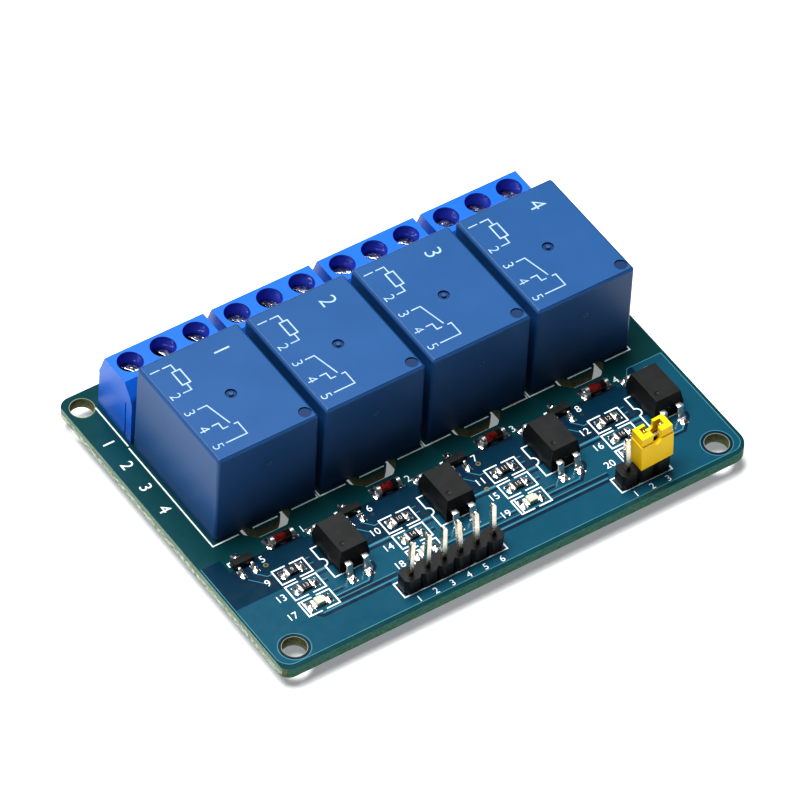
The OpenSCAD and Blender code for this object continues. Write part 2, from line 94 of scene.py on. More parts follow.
def finish(name, dark, light, rough=(0.35, 0.45), metal=0.0, coat=0.0, drift=220.0,
           grain=5000.0, relief=0.15, depth=0.01, shine=0.5):
    """A surface whose colour drifts between two tones, with a fine grain in gloss and relief."""
    material = bpy.data.materials.new(name)
    material.use_nodes = True
    nodes = material.node_tree.nodes
    link = material.node_tree.links.new
    shader = nodes["Principled BSDF"]
    place = nodes.new("ShaderNodeTexCoord")
    cloud = nodes.new("ShaderNodeTexNoise")
    cloud.inputs["Scale"].default_value = drift
    cloud.inputs["Detail"].default_value = 3.0
    tones = nodes.new("ShaderNodeValToRGB")
    tones.name = "tones"
    tones.color_ramp.elements[0].position = 0.32
    tones.color_ramp.elements[0].color = (*dark, 1.0)
    tones.color_ramp.elements[1].position = 0.68
    tones.color_ramp.elements[1].color = (*light, 1.0)
    speck = nodes.new("ShaderNodeTexNoise")
    speck.name = "grain"
    speck.inputs["Scale"].default_value = grain
    speck.inputs["Detail"].default_value = 2.0
    gloss = nodes.new("ShaderNodeMapRange")
    gloss.inputs["From Min"].default_value = 0.3
    gloss.inputs["From Max"].default_value = 0.7
    gloss.inputs["To Min"].default_value = rough[0]
    gloss.inputs["To Max"].default_value = rough[1]
    bump = nodes.new("ShaderNodeBump")
    bump.inputs["Strength"].default_value = relief
    bump.inputs["Distance"].default_value = depth * MM
    link(place.outputs["Object"], cloud.inputs["Vector"])
    link(place.outputs["Object"], speck.inputs["Vector"])
    link(cloud.outputs["Fac"], tones.inputs["Fac"])
    link(tones.outputs["Color"], shader.inputs["Base Color"])
    link(speck.outputs["Fac"], gloss.inputs["Value"])
    link(gloss.outputs["Result"], shader.inputs["Roughness"])
    link(speck.outputs["Fac"], bump.inputs["Height"])
    link(bump.outputs["Normal"], shader.inputs["Normal"])
    bump.name = "relief"
    shader.inputs["Metallic"].default_value = metal
    shader.inputs["Specular IOR Level"].default_value = shine
    shader.inputs["Coat Weight"].default_value = coat
    shader.inputs["Coat Roughness"].default_value = 0.08
    return material


def calc(material, operation, *values):
    """One sum in a finish; each value is a number or what another node gives."""
    node = material.node_tree.nodes.new("ShaderNodeMath")
    node.operation = operation
    for socket, value in zip(node.inputs, values):
        if isinstance(value, bpy.types.NodeSocket):
            material.node_tree.links.new(value, socket)
        else:
            socket.default_value = value
    return node.outputs["Value"]


def blend(material, share, first, second, kind="MIX"):
    """Two tones laid over each other; each is a colour or what another node gives."""
    node = material.node_tree.nodes.new("ShaderNodeMixRGB")
    node.blend_type = kind
    material.node_tree.links.new(share, node.inputs["Fac"])
    for socket, tone in ((node.inputs["Color1"], first), (node.inputs["Color2"], second)):
        if isinstance(tone, bpy.types.NodeSocket):
            material.node_tree.links.new(tone, socket)
        else:
            socket.default_value = (*tone, 1.0)
    return node.outputs["Color"]


def own_axes(material):
    """X, Y and Z of a spot on the piece, in metres."""
    place = material.node_tree.nodes.new("ShaderNodeTexCoord")
    axes = material.node_tree.nodes.new("ShaderNodeSeparateXYZ")
    material.node_tree.links.new(place.outputs["Object"], axes.inputs["Vector"])
    return axes.outputs


def board_finish():
    """Mask on both faces, woven fibre on edges and hole walls; the scored side is pale and torn."""
    material = finish("board_laminate", (0.002, 0.038, 0.043), (0.004, 0.046, 0.052),
                      rough=(0.16, 0.20), drift=90.0, grain=900.0, relief=0.02)
    nodes = material.node_tree.nodes
    link = material.node_tree.links.new
    shader = nodes["Principled BSDF"]

    place = nodes.new("ShaderNodeTexCoord")
    stretch = nodes.new("ShaderNodeMapping")
    stretch.inputs["Scale"].default_value = (1300.0, 1300.0, 3000.0)
    link(place.outputs["Object"], stretch.inputs["Vector"])
    plies = nodes.new("ShaderNodeTexNoise")
    plies.inputs["Scale"].default_value = 1.0
    plies.inputs["Detail"].default_value = 6.0
    plies.inputs["Roughness"].default_value = 0.7
    link(stretch.outputs["Vector"], plies.inputs["Vector"])

    def weave(low, high):
        node = nodes.new("ShaderNodeValToRGB")
        node.color_ramp.elements[0].position = 0.34
        node.color_ramp.elements[0].color = (*low, 1.0)
        node.color_ramp.elements[1].position = 0.66
        node.color_ramp.elements[1].color = (*high, 1.0)
        link(plies.outputs["Fac"], node.inputs["Fac"])
        return node.outputs["Color"]

    x, y, z = own_axes(material)
    off_middle = calc(material, "ABSOLUTE", calc(material, "SUBTRACT", z, BOARD_TOP / 2))
    on_face = calc(material, "GREATER_THAN", off_middle, BOARD_TOP / 2 - MASK_SKIN * MM)
    on_score = calc(material, "GREATER_THAN", off_middle, BOARD_TOP / 2 - SCORE_DEPTH * MM)
    scored_side = calc(material, "LESS_THAN", x, BOARD_LEFT + 0.3 * MM)
    torn = weave((0.05, 0.075, 0.04), (0.66, 0.76, 0.60))
    score = weave((0.12, 0.18, 0.14), (0.21, 0.27, 0.22))
    # mask and copper colour the upper plies of a milled edge
    upper_plies = calc(material, "GREATER_THAN", z, BOARD_TOP - 0.45 * MM)
    milled = blend(material, upper_plies, weave((0.026, 0.092, 0.058), (0.066, 0.19, 0.13)),
                   weave((0.022, 0.10, 0.096), (0.046, 0.175, 0.17)))
    drilled = weave((0.072, 0.090, 0.040), (0.17, 0.195, 0.10))
    from_middle = calc(material, "ABSOLUTE", calc(material, "SUBTRACT", y, BOARD_MIDDLE_Y))
    inner = calc(material, "MULTIPLY",
                 calc(material, "LESS_THAN", calc(material, "ABSOLUTE", x), INNER_HALF_X),
                 calc(material, "LESS_THAN", from_middle, INNER_HALF_Y))
    edge = blend(material, scored_side, blend(material, inner, milled, drilled),
                 blend(material, on_score, torn, score))
    link(blend(material, on_face, edge, nodes["tones"].outputs["Color"]), shader.inputs["Base Color"])
    # cut edges are matt, the faces keep the gloss of the mask
    cut = calc(material, "SUBTRACT", 1.0, on_face)
    gloss = shader.inputs["Roughness"].links[0].from_socket
    link(calc(material, "MULTIPLY_ADD", cut, 0.5, gloss), shader.inputs["Roughness"])
    link(calc(material, "MULTIPLY_ADD", cut, -0.4, 0.5), shader.inputs["Specular IOR Level"])
    fibres = nodes.new("ShaderNodeBump")
    fibres.inputs["Distance"].default_value = 0.12 * MM
    link(cut, fibres.inputs["Strength"])
    link(plies.outputs["Fac"], fibres.inputs["Height"])
    link(nodes["relief"].outputs["Normal"], fibres.inputs["Normal"])
    link(fibres.outputs["Normal"], shader.inputs["Normal"])
    return material


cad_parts["circuit_board"].data.materials[0] = board_finish()

# ---------------------------------------------------------------------------
# Top copper. The ground plane lies under the mask in front of the relays and shows
# as a lighter, bluer field; narrow gaps in it run beside the tracks and show darker.
# Etched from 0.035 mm foil, so it stands that much above the laminate.
# ---------------------------------------------------------------------------

CHANNELS = 4
PITCH = 16.32
ROW_X = 0.5
FOIL = 0.035
HOLE_FRONT_X = 32.7
HOLE_BACK = (33.7, 48.0)
# the plane is darker between the front tracks and the relays, up to the last optocoupler
DARK_FROM_Y = 8.78
DARK_TO_X = 31.0


def channel_x(k):
    return ROW_X + (k - (CHANNELS - 1) / 2) * PITCH


def flat_sheet(name, outlines, low, thick):
    """A flat sheet between two heights, drawn as closed outlines; an outline inside another is a hole."""
    drawing = bpy.data.curves.new(name, "CURVE")
    drawing.dimensions = "2D"
    drawing.fill_mode = "BOTH"
    drawing.extrude = thick * MM / 2
    for outline in outlines:
        spline = drawing.splines.new("POLY")
        spline.points.add(len(outline) - 1)
        for point, (x, y) in zip(spline.points, outline):
            point.co = (x * MM, y * MM, 0.0, 1.0)
        spline.use_cyclic_u = True
    sheet = bpy.data.objects.new(name, drawing)
    bpy.context.scene.collection.objects.link(sheet)
    sheet.location.z = (low + thick / 2) * MM
    take(sheet)
    bpy.ops.object.convert(target="MESH")
    bpy.ops.object.transform_apply(location=True, rotation=False, scale=False)
    bpy.ops.object.mode_set(mode="EDIT")
    bpy.ops.mesh.select_all(action="SELECT")
    bpy.ops.mesh.remove_doubles(threshold=0.001 * MM)
    bpy.ops.mesh.normals_make_consistent(inside=False)
    bpy.ops.object.mode_set(mode="OBJECT")
    return bpy.context.active_object


def ring_outline(x, y, r, steps=40):
    return [(x + r * math.cos(2 * math.pi * i / steps), y + r * math.sin(2 * math.pi * i / steps))
            for i in range(steps)]


def arc(x, y, r, start, stop, steps=6):
    turn = [math.radians(start + (stop - start) * i / steps) for i in range(steps + 1)]
    return [(x + r * math.cos(a), y + r * math.sin(a)) for a in turn]


def ribbon(width, path):
    """Outline of a line of even width that follows a path, mitred where the path bends."""
    left, right = [], []
    for i, (x, y) in enumerate(path):
        before, after = path[max(i - 1, 0)], path[min(i + 1, len(path) - 1)]
        heading_in = Vector((x - before[0], y - before[1])) if i else Vector((after[0] - x, after[1] - y))
        heading_out = Vector((after[0] - x, after[1] - y)) if i < len(path) - 1 else heading_in
        heading = (heading_in.normalized() + heading_out.normalized()).normalized()
        reach = width / 2 / max(heading.dot(heading_in.normalized()), 0.3)
        left.append((x - heading.y * reach, y + heading.x * reach))
        right.append((x + heading.y * reach, y - heading.x * reach))
    return left + right[::-1]


def pour_finish():
    """Mask over copper: bluer than over bare laminate, and darker behind the front tracks."""
    material = finish("mask_over_copper", (0.006, 0.063, 0.102), (0.008, 0.071, 0.114),
                      rough=(0.16, 0.20), drift=70.0, grain=900.0, relief=0.02)
    nodes = material.node_tree.nodes
    axes = own_axes(material)
    behind = calc(material, "GREATER_THAN", axes["Y"], DARK_FROM_Y * MM)
    left_part = calc(material, "LESS_THAN", axes["X"], DARK_TO_X * MM)
    shaded = blend(material, calc(material, "MULTIPLY", behind, left_part),
                   nodes["tones"].outputs["Color"], (0.16, 0.36, 0.44), "MULTIPLY")
    material.node_tree.links.new(shaded, nodes["Principled BSDF"].inputs["Base Color"])
    return material


pour_mask = pour_finish()
gap_mask = finish("mask_over_gap", (0.003, 0.014, 0.034), (0.004, 0.019, 0.044),
                  rough=(0.18, 0.24), drift=150.0, grain=900.0, relief=0.02)
edge_mask = finish("mask_on_copper_edge", (0.035, 0.165, 0.215), (0.055, 0.215, 0.265),
                   rough=(0.2, 0.28), drift=300.0, grain=900.0, relief=0.02)

top = BOARD_TOP / MM
pour_left, pour_right, pour_front = -35.77, 35.73, -2.31
POUR_CORNER = 1.9
pour_rim = ([(pour_left, 16.8), (pour_left, pour_front + POUR_CORNER)]
            + arc(pour_left + POUR_CORNER, pour_front + POUR_CORNER, POUR_CORNER, 180, 270)[1:]
            + arc(pour_right - POUR_CORNER, pour_front + POUR_CORNER, POUR_CORNER, 270, 360)
            + [(pour_right, 16.7), (30.3, 16.7)])
pour_outline = pour_rim + [(28.8, 14.5), (-32.9, 14.5), (-32.9, 16.8)]
pour_hole_rings = [ring_outline(side * HOLE_FRONT_X, 0, 2.15) for side in (-1, 1)]
pour = flat_sheet("copper_plane_top", [pour_outline] + pour_hole_rings, top, FOIL)
settle(pour, pour_mask)

gap_outlines = []
edge_outlines = []


def etch(outlines, width, path):
    outlines.append(ribbon(width, path))


for k in range(CHANNELS):
    x = channel_x(k)
    # from the transistor to the first resistor
    etch(gap_outlines, 0.42, [(x - 8.66, 14.4), (x - 8.66, 12.49), (x - 6.51, 10.14), (x - 4.5, 10.14)])
    etch(gap_outlines, 0.42, [(x - 6.86, 14.4), (x - 6.86, 12.69), (x - 5.46, 11.14), (x - 4.5, 11.14)])
    etch(edge_outlines, 0.12, [(x - 7.6, 12.3), (x - 6.2, 10.75), (x - 5.9, 10.62)])
    etch(edge_outlines, 0.12, [(x - 6.46, 12.9), (x - 5.21, 11.49), (x - 4.5, 11.49)])
    # rear rim of the plane between the driver groups
    etch(gap_outlines, 0.6, [(x - 5.0, 14.85), (x + 2.3, 14.85)])
    # common track between the two resistors
    runs = [(x + 0.35, x + 1.9)] + ([(x - 8.0, x - 4.5)] if k else [])
    for start, stop in runs:
        etch(gap_outlines, 0.4, [(start, 9.46), (stop, 9.46)])
        etch(gap_outlines, 0.4, [(start, 8.42), (stop, 8.42)])
        etch(edge_outlines, 0.3, [(start, 8.93), (stop, 8.93)])
    # stubs from the resistors and the lamp towards the optocoupler
    for y, reach in ((11.47, 1.1), (10.47, 1.1), (7.34, 1.1), (5.19, 2.0)):
        etch(edge_outlines, 0.1, [(x + 0.42, y), (x + reach, y)])
        etch(gap_outlines, 0.3, [(x + 0.42, y - 0.35), (x + reach, y - 0.35)])
    # track round the front of the optocoupler
    if k == 1:
        etch(edge_outlines, 0.2, [(x + 0.4, 4.2), (x + 11.6, 4.2)])
        etch(gap_outlines, 0.34, [(x + 0.4, 3.86), (x + 11.6, 3.86)])
    else:
        etch(edge_outlines, 0.2, [(x + 0.4, 4.24), (x + 5.34, 4.24), (x + 6.94, 5.84), (x + 7.14, 6.8)])
        etch(gap_outlines, 0.42, [(x + 0.4, 3.92), (x + 5.5, 3.92), (x + 7.35, 5.75), (x + 7.5, 6.6)])

# two signal tracks in front of the groups, hidden under the six-pin header in the middle
for start, stop, y in ((channel_x(0) + 0.4, -14.9, 3.61), (0.0, 17.6, 3.29)):
    etch(edge_outlines, 0.12, [(start, y), (stop, y)])
    etch(gap_outlines, 0.48, [(start, y - 0.38), (stop, y - 0.38)])
etch(edge_outlines, 0.2, [(-26.5, 2.72), (-15.2, 2.72)])
etch(gap_outlines, 0.46, [(-27.4, 2.94), (-26.72, 2.34), (-16.4, 2.34)])
etch(edge_outlines, 0.2, [(0.0, 2.4), (17.2, 2.4)])
etch(gap_outlines, 0.46, [(0.0, 2.0), (17.2, 2.0)])

# bare laminate round each front hole
for side in (-1, 1):
    gap_outlines.append(ring_outline(side * HOLE_FRONT_X, 0, 2.06))
    gap_outlines.append(ring_outline(side * HOLE_FRONT_X, 0, 1.72))
# the tones of the mask differ by a few micrometres in height, so that no two lie in one plane
gaps = flat_sheet("copper_gaps_top", gap_outlines, top + FOIL, 0.004)
settle(gaps, gap_mask)

# light rim of the plane, and round each front hole
etch(edge_outlines, 0.12, pour_rim + [(28.8, 14.7)])
for side in (-1, 1):
    edge_outlines.append(ring_outline(side * HOLE_FRONT_X, 0, 2.22))
    edge_outlines.append(ring_outline(side * HOLE_FRONT_X, 0, 2.10))
tracks = flat_sheet("copper_edges_top", edge_outlines, top + FOIL, 0.008)
settle(tracks, edge_mask)

# ---------------------------------------------------------------------------
# Vias and rims of the mounting holes. Vias have a 0.38 mm hole in a 0.72 mm land; some are
# left open, where the bare land shows brown-gold, and the others are tented. Over each hole,
# open or tented, lies a dark dot of painted shade. Each mounting hole has a thin pale rim of
# bare laminate.

via_gold = finish("via_land", (0.16, 0.13, 0.06), (0.26, 0.21, 0.11), rough=(0.3, 0.4), metal=0.6,
                  drift=2000.0)
# painted shade: a dark dot over each via hole, open or tented
via_shade_dot = finish("via_hole", (0.001, 0.006, 0.012), (0.002, 0.009, 0.018), rough=(0.3, 0.4))
open_vias = ((-28.32, 13.19), (4.38, 13.24), (2.88, 9.04))
tented_vias = ((-12.02, 13.19), (20.68, 13.19))
lands = flat_sheet("via_lands", [ring_outline(x, y, r, 24) for x, y in open_vias for r in (0.36, 0.19)],
                   top + FOIL, 0.012)
settle(lands, via_gold)
dots = flat_sheet("via_holes", [ring_outline(x, y, 0.185, 20) for x, y in open_vias]
                  + [ring_outline(x, y, 0.3, 24) for x, y in tented_vias], top + FOIL, 0.006)
settle(dots, via_shade_dot)

# rim of bare laminate where the drill broke through the mask at the mounting holes
rim_pale = finish("hole_rim", (0.17, 0.18, 0.10), (0.25, 0.26, 0.16), rough=(0.5, 0.6), drift=900.0)
hole_places = [(side * HOLE_FRONT_X, 0) for side in (-1, 1)]
hole_places += [(side * HOLE_BACK[0], HOLE_BACK[1]) for side in (-1, 1)]
hole_rims = flat_sheet("hole_rims", [ring_outline(x, y, r, 64) for x, y in hole_places
                                     for r in (1.72, 1.63)], top, 0.01)
settle(hole_rims, rim_pale)

# ---------------------------------------------------------------------------
# Printed lines. White epoxy ink screened over the mask: part outlines and plain
# item numbers. About 0.02 mm thick, lines 0.2 mm wide.
# ---------------------------------------------------------------------------

INK = 0.02
INK_LINE = 0.2
HEADER_PITCH = 2.54
HEADER_6_X = -14.87
HEADER_3_X = 18.75
ink_level = top + FOIL
ink = finish("screen_ink", (0.70, 0.76, 0.78), (0.82, 0.86, 0.87), rough=(0.45, 0.6),
             drift=900.0, grain=6000.0, relief=0.1)

ink_paths = []
for k in range(CHANNELS):
    x = channel_x(k)
    # relay, broken where the slot passes; optocoupler with its notch; corners of the transistor
    ink_paths += [
        [(x - 8.36, 39.0), (x - 8.36, 19.28), (x - 4.4, 19.28)],
        [(x - 2.3, 19.28), (x + 1.5, 19.28)],
        [(x + 3.6, 19.28), (x + 7.63, 19.28), (x + 7.63, 39.0)],
        [(x + 2.99, 12.49), (x + 1.99, 12.49), (x + 1.99, 10.4)]
        + arc(x + 1.99, 9.74, 0.65, 90, -90) + [(x + 1.99, 6.89), (x + 7.4, 6.89)],
        [(x - 7.7, 15.84), (x - 8.4, 15.84), (x - 8.4, 15.2)],
        [(x - 6.1, 15.84), (x - 5.4, 15.84), (x - 5.4, 15.2)],
    ]
    # two chips and the lamp, each in two brackets
    for y0, y1 in ((9.29, 11.81), (6.26, 8.78), (3.11, 5.69)):
        left, right = x - 4.39, x + 0.27
        ink_paths += [
            [(left + 2.0, y0), (left, y0), (left, y1), (left + 2.0, y1)],
            [(left + 2.65, y0), (right, y0), (right, y1), (left + 2.65, y1)],
        ]
    # cathode bars of the lamp and the diode
    ink_paths.append([(x - 3.96, 3.22), (x - 3.96, 5.58)])
    ink_paths.append([(x - 0.95, 15.14), (x + 0.15, 15.14)])
# left end of the terminal row, and the two headers
ink_paths += [
    [(-32.22, 39.3), (-32.22, 47.1)],
    [(-14.3, 1.99), (-16.37, 1.99), (-16.37, -0.61), (-0.62, -0.61), (-0.62, 1.99)],
    [(18.2, 1.99), (17.28, 1.99), (17.28, -0.61), (25.18, -0.61), (25.18, 1.99)],
]
outlines = flat_sheet("printed_outlines", [ribbon(INK_LINE, path) for path in ink_paths],
                      ink_level, INK)
settle(outlines, ink)


def join(name, pieces):
    start_alone()
    for piece in pieces:
        piece.select_set(True)
    bpy.context.view_layer.objects.active = pieces[0]
    bpy.ops.object.join()
    joined = bpy.context.active_object
    joined.name = name
    return joined


def printed_text(name, entries, level, ink_thick, thin=0.0):
    """Plain numbers in ink; each entry is the text, its middle, its height and its turn in degrees."""
    pieces = []
    for words, x, y, height, turn in entries:
        start_alone()
        bpy.ops.object.text_add(location=(x * MM, y * MM, (level + ink_thick / 2) * MM),
                                rotation=(0, 0, math.radians(turn)))
        words_object = bpy.context.active_object
        words_object.data.body = words
        words_object.data.align_x = "CENTER"
        words_object.data.align_y = "CENTER"
        words_object.data.size = height / 0.7 * MM
        words_object.data.offset = -thin * height * MM
        words_object.data.extrude = ink_thick / 2 * MM
        words_object.data.resolution_u = 4
        bpy.ops.object.convert(target="MESH")
        pieces.append(bpy.context.active_object)
    return join(name, pieces)


number_entries = []
# beside the diode, the transistor, the two chips and the lamp of each group
for k in range(CHANNELS):
    for first_number, aside, y in ((1, 2.9, 15.8), (5, -4.2, 14.2), (9, -5.8, 10.45), (13, -5.8, 7.4),
                                   (17, -6.2, 4.2)):
        number_entries.append((str(k + first_number), channel_x(k) + aside, y, 1.1, 0))
# in front of the header pins
for first_x, pins in ((HEADER_6_X, 6), (HEADER_3_X, 3)):
    number_entries += [(str(i + 1), first_x + HEADER_PITCH * i, -1.72, 1.0, 0) for i in range(pins)]
# down the left side of the board
for i in range(CHANNELS):
    number_entries.append((str(i + 1), -34.2, 41.0 - 4.4 * i, 1.7, -90))
numbers = printed_text("printed_numbers", number_entries, ink_level, INK)
settle(numbers, ink)

# ---------------------------------------------------------------------------
# Relays. Each cover is one moulding in blue glass-filled plastic with a fine satin
# skin; the tinned copper pins come out through a darker base plate.
# ---------------------------------------------------------------------------

RELAY_Y = 29.4
relay_blue = finish("relay_cover_blue", (0.012, 0.071, 0.205), (0.015, 0.078, 0.222),
                    rough=(0.36, 0.44), drift=120.0, grain=9000.0, relief=0.2, depth=0.008, shine=0.25)


def tint_inside(material, tint, gloss, middle, periods, half, below):
    """Another tone and gloss inside a box round a middle, repeated along X, and below a height."""
    x, y, z = own_axes(material)
    across = calc(material, "SUBTRACT", x, middle[0] * MM)
    for period in periods:
        across = calc(material, "WRAP", across, period / 2 * MM, -period / 2 * MM)
    along = calc(material, "SUBTRACT", y, middle[1] * MM)
    near_x = calc(material, "LESS_THAN", calc(material, "ABSOLUTE", across), half[0] * MM)
    near_y = calc(material, "LESS_THAN", calc(material, "ABSOLUTE", along), half[1] * MM)
    inside = calc(material, "MULTIPLY", calc(material, "MULTIPLY", near_x, near_y),
                  calc(material, "LESS_THAN", z, below * MM))
    for name, tone in (("Base Color", tint), ("Roughness", (gloss, gloss, gloss))):
        socket = material.node_tree.nodes["Principled BSDF"].inputs[name]
        material.node_tree.links.new(blend(material, inside, socket.links[0].from_socket, tone), socket)


# painted shade: the mould marks sunk in the cover's top are tinted darker than the rest of the cover
tint_inside(relay_blue, (0.006, 0.030, 0.095), gloss=0.4, middle=(channel_x(0), RELAY_Y),
            periods=(PITCH,), half=(7.4, 9.3), below=16.58)
relay_base_blue = finish("relay_base_blue", (0.012, 0.03, 0.09), (0.016, 0.04, 0.11))
tin = finish("tinned_copper", (0.52, 0.52, 0.51), (0.66, 0.66, 0.65), rough=(0.22, 0.36),
             metal=1.0, drift=600.0, grain=3500.0, relief=0.3)
for k in range(1, CHANNELS + 1):
    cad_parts[f"relay_cover_{k}"].data.materials[0] = relay_blue
    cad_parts[f"relay_base_{k}"].data.materials[0] = relay_base_blue
    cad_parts[f"relay_pins_{k}"].data.materials[0] = tin

# ring left by the moulding gate on the front face of each cover
cover_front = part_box("relay_cover_1")[0][1]
GATE_Z = 12.0
gate_rings = [ring_outline(channel_x(k) + 0.1, GATE_Z, r, 24) for k in range(CHANNELS) for r in (0.40, 0.27)]
gate_marks = flat_sheet("relay_gate_marks", gate_rings, -0.01, 0.02)
gate_marks.location.y = cover_front
gate_marks.rotation_euler.x = math.radians(90)
# painted highlight: the raised ring is coloured a lighter blue than the cover
settle(gate_marks, finish("gate_mark_blue", (0.045, 0.11, 0.24), (0.06, 0.135, 0.28)))

# pad-printed marks on the covers: pin numbers and a plain contact diagram
cover_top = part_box("relay_cover_1")[1][2] / MM
PAD_INK = 0.012
PAD_LINE = 0.18
mark_paths = []
coil_outlines = []
mark_numbers = []
for k in range(CHANNELS):
    x = channel_x(k) - 6.2
    # coil between pins 1 and 2
    mark_paths += [
        [(x + 1.2, RELAY_Y + 7.6), (x + 2.5, RELAY_Y + 7.6), (x + 2.5, RELAY_Y + 6.5)],
        [(x + 2.5, RELAY_Y + 3.8), (x + 2.5, RELAY_Y + 2.7), (x + 1.2, RELAY_Y + 2.7)],
        # moving contact from pin 3, with pins 4 and 5 on each side of its tip
        [(x + 1.2, RELAY_Y - 0.6), (x + 2.6, RELAY_Y - 0.6), (x + 3.5, RELAY_Y - 4.6)],
        [(x + 1.2, RELAY_Y - 3.9), (x + 2.2, RELAY_Y - 3.9), (x + 2.2, RELAY_Y - 5.0),
                (x + 3.0, RELAY_Y - 5.0)],
        [(x + 1.2, RELAY_Y - 7.2), (x + 4.4, RELAY_Y - 7.2), (x + 4.4, RELAY_Y - 5.0),
                (x + 3.8, RELAY_Y - 5.0)],
    ]
    coil_x, coil_y = x + 2.5, RELAY_Y + 5.15
    for wide, long in ((0.70, 1.35), (0.50, 1.15)):
        coil_outlines.append([(coil_x - wide, coil_y - long), (coil_x + wide, coil_y - long),
                              (coil_x + wide, coil_y + long), (coil_x - wide, coil_y + long)])
    for number, y in zip("12345", (7.6, 2.7, -0.6, -3.9, -7.2)):
        mark_numbers.append((number, x, RELAY_Y + y, 1.5, -90))
    mark_numbers.append((str(k + 1), x + 9.3, RELAY_Y + 6.4, 2.4, -90))
pad_ink = finish("pad_ink", (0.27, 0.40, 0.53), (0.38, 0.51, 0.64), rough=(0.4, 0.5), drift=700.0)
diagram_lines = [ribbon(PAD_LINE, path) for path in mark_paths]
diagram = flat_sheet("relay_diagrams", diagram_lines + coil_outlines, cover_top, PAD_INK)
settle(diagram, pad_ink)
pin_marks = printed_text("relay_numbers", mark_numbers, cover_top, PAD_INK, thin=0.014)
settle(pin_marks, pad_ink)

# ---------------------------------------------------------------------------
# Terminal blocks. Bright blue polyamide housings, screws and cages of plated steel.
# The housings' edges are rounded as the mould leaves them.
# ---------------------------------------------------------------------------


def moulded(node, width, material):
    """A welded copy of a CAD node with its sharp edges rounded, shown in the node's place."""
    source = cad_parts[node]
    piece = bpy.data.objects.new(node + "_moulded", source.data.copy())
    bpy.context.scene.collection.objects.link(piece)
    take(piece)
    bpy.ops.object.mode_set(mode="EDIT")
    bpy.ops.mesh.select_all(action="SELECT")
    bpy.ops.mesh.remove_doubles(threshold=0.001 * MM)
    bpy.ops.mesh.dissolve_limited(angle_limit=math.radians(0.5))
    bpy.ops.object.mode_set(mode="OBJECT")
    apply_modifier(piece, "BEVEL", width=width * MM, segments=2, limit_method="ANGLE",
                   angle_limit=math.radians(35), harden_normals=False)
    take(piece)
    bpy.ops.object.shade_smooth_by_angle(angle=math.radians(30))
    apply_modifier(piece, "WEIGHTED_NORMAL", keep_sharp=True)
    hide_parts(node)
    return settle(piece, material)


BLOCK_X = -0.23
WAY_PITCH = 5.0
WELL_Y = 43.9
terminal_blue = finish("terminal_blue", (0.006, 0.115, 0.56), (0.008, 0.127, 0.60),
                       rough=(0.30, 0.40), drift=150.0, grain=7000.0, relief=0.2, depth=0.008, shine=0.35)
zinc = finish("zinc_plate", (0.58, 0.58, 0.60), (0.72, 0.72, 0.73), rough=(0.12, 0.24),
              metal=1.0, drift=700.0, grain=2500.0, relief=0.3)
# the screw heads are cold-formed and barrel-plated, so they are dimpled all over
screw_zinc = finish("screw_zinc", (0.20, 0.20, 0.21), (0.62, 0.62, 0.63), rough=(0.14, 0.28),
                    metal=1.0, drift=1500.0, grain=1800.0, relief=0.8, depth=0.12)
# painted shade: the screws' driving slots, and all below the heads' tops, are tinted dark grey and made
# matter
screw_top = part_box("terminal_screws_1")[1][2] / MM
tint_inside(screw_zinc, (0.035, 0.035, 0.038), gloss=0.5, middle=(channel_x(0) + BLOCK_X, WELL_Y),
            periods=(PITCH, WAY_PITCH), half=(2.4, 2.4), below=screw_top - 0.15)

# painted shade: the walls inside the screw wells are tinted navy and made glossier, standing in for the
# light that bounces from blue to blue there
tint_inside(terminal_blue, (0.06, 0.10, 0.66), gloss=0.12, middle=(channel_x(0) + BLOCK_X, WELL_Y),
            periods=(PITCH, WAY_PITCH), half=(1.82, 1.82), below=11.5)
for k in range(1, CHANNELS + 1):
    moulded(f"terminal_housing_{k}", 0.14, terminal_blue)
    moulded(f"terminal_screws_{k}", 0.08, screw_zinc)
    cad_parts[f"terminal_cages_{k}"].data.materials[0] = zinc
    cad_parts[f"terminal_pins_{k}"].data.materials[0] = tin

# ---------------------------------------------------------------------------
# Pin headers and jumper. Black polyester strips with V-notches between the units,
# square pins with a flash of gold over nickel, and a yellow jumper with its clip.
# ---------------------------------------------------------------------------

header_black = finish("header_black", (0.004, 0.004, 0.005), (0.008, 0.008, 0.009),
                      rough=(0.32, 0.42), drift=400.0, grain=6000.0, relief=0.15, shine=0.34)
pin_gold = finish("flash_gold", (0.46, 0.42, 0.35), (0.64, 0.60, 0.51), rough=(0.16, 0.24),
                  metal=1.0, drift=500.0, grain=3000.0, relief=0.02)
jumper_yellow = finish("jumper_yellow", (0.82, 0.52, 0.003), (0.86, 0.58, 0.005),
                       rough=(0.3, 0.4), drift=300.0, grain=6000.0, relief=0.15, shine=0.12)
moulded("header_6_housing", 0.04, header_black)
moulded("header_3_housing", 0.04, header_black)
moulded("jumper_cap", 0.10, jumper_yellow)
for node in ("header_6_pins", "header_3_pins"):
    moulded(node, 0.05, pin_gold)
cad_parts["jumper_clip"].data.materials[0] = pin_gold

# ---------------------------------------------------------------------------
# Driver parts. Optocouplers and transistors in black epoxy with tinned leads, glass
# diodes with tinned caps, chip resistors and light-emitting diodes.
# ---------------------------------------------------------------------------

epoxy_black = finish("epoxy_black", (0.007, 0.008, 0.008), (0.012, 0.013, 0.013),
                     rough=(0.40, 0.52), drift=500.0, grain=8000.0, relief=0.3, depth=0.008, shine=0.2)
lead_tin = finish("lead_tin", (0.78, 0.78, 0.77), (0.92, 0.92, 0.90), rough=(0.28, 0.40),
                  metal=1.0, drift=800.0, grain=4000.0, relief=0.1)
for k in range(1, CHANNELS + 1):
    moulded(f"optocoupler_{k}", 0.10, epoxy_black)
    moulded(f"optocoupler_leads_{k}", 0.06, lead_tin)
moulded("transistor_bodies", 0.04, epoxy_black)
moulded("transistor_leads", 0.03, lead_tin)


